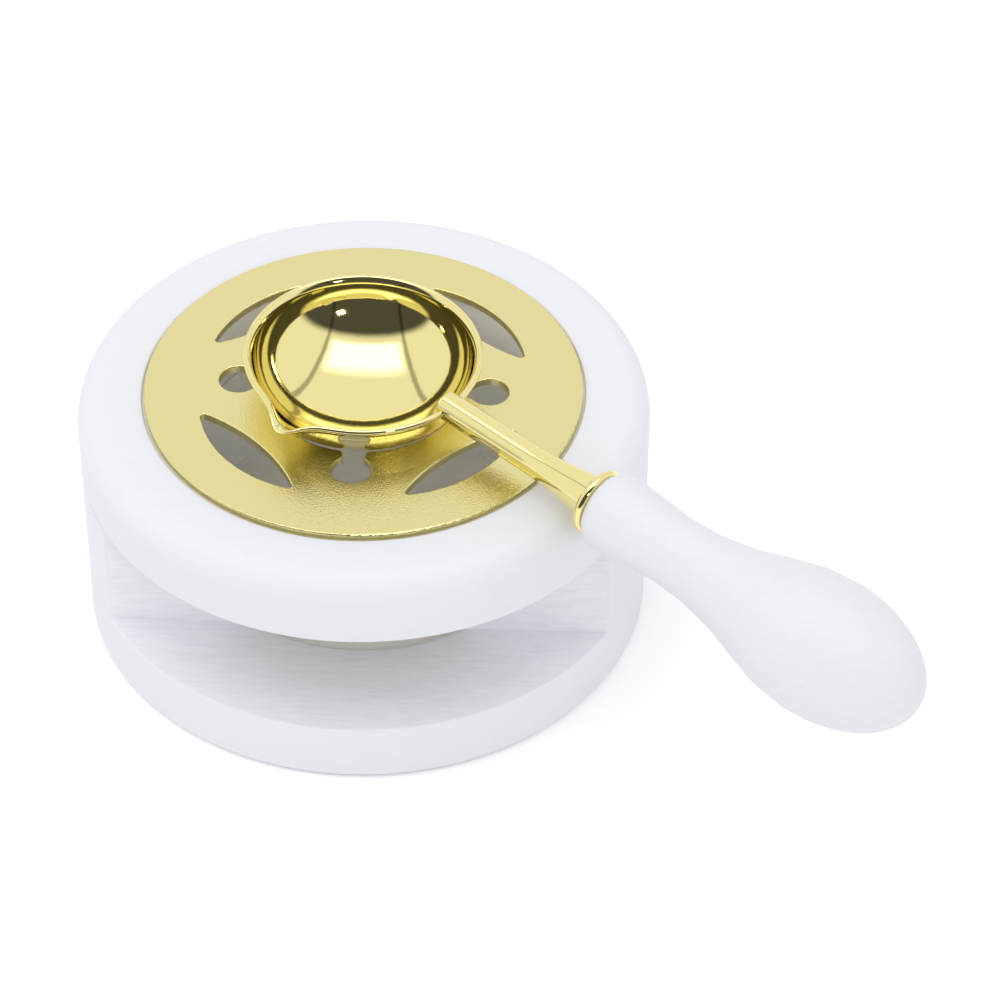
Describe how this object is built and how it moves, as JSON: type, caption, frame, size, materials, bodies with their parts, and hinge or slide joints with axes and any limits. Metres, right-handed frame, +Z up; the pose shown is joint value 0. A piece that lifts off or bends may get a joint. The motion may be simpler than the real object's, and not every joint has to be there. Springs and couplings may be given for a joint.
{
  "type": "wax seal warmer",
  "caption": "Round white wooden candle furnace with an open front, a pierced gold ring plate on top and a gold melting spoon with a turned white handle resting in it.",
  "frame": {"origin": "centre of the furnace's underside", "axes": "+Z up; the furnace's open front faces -Y; the spoon's handle points to the front right, 38.9 degrees from +X towards -Y"},
  "size_m": [0.1275, 0.1128, 0.0527],
  "materials": {
    "painted_wood": "matt white paint over fine-grained wood",
    "handle_wood": "satin white paint over turned wood",
    "satin_gold": "satin gold plating with a fine grain",
    "polished_gold": "mirror-polished gold plating",
    "steel": "plain bright steel"
  },
  "bodies": {
    "furnace": {"base_board": "painted_wood", "wall_block": "painted_wood", "top_board": "painted_wood"},
    "plate": {"ring_plate": "satin_gold"},
    "spoon": {"spoon_bowl": "polished_gold", "spoon_stem": "polished_gold", "stem_collar": "polished_gold", "handle": "handle_wood", "handle_tang": "steel"}
  },
  "joints": [
    {"name": "plate_lift", "type": "slide", "parent": "furnace", "child": "plate", "axis": [0, 0, 1], "range_m": [0, 0.06]},
    {"name": "spoon_lift", "type": "slide", "parent": "plate", "child": "spoon", "axis": [0, 0, 1], "range_m": [0, 0.08]}
  ]
}
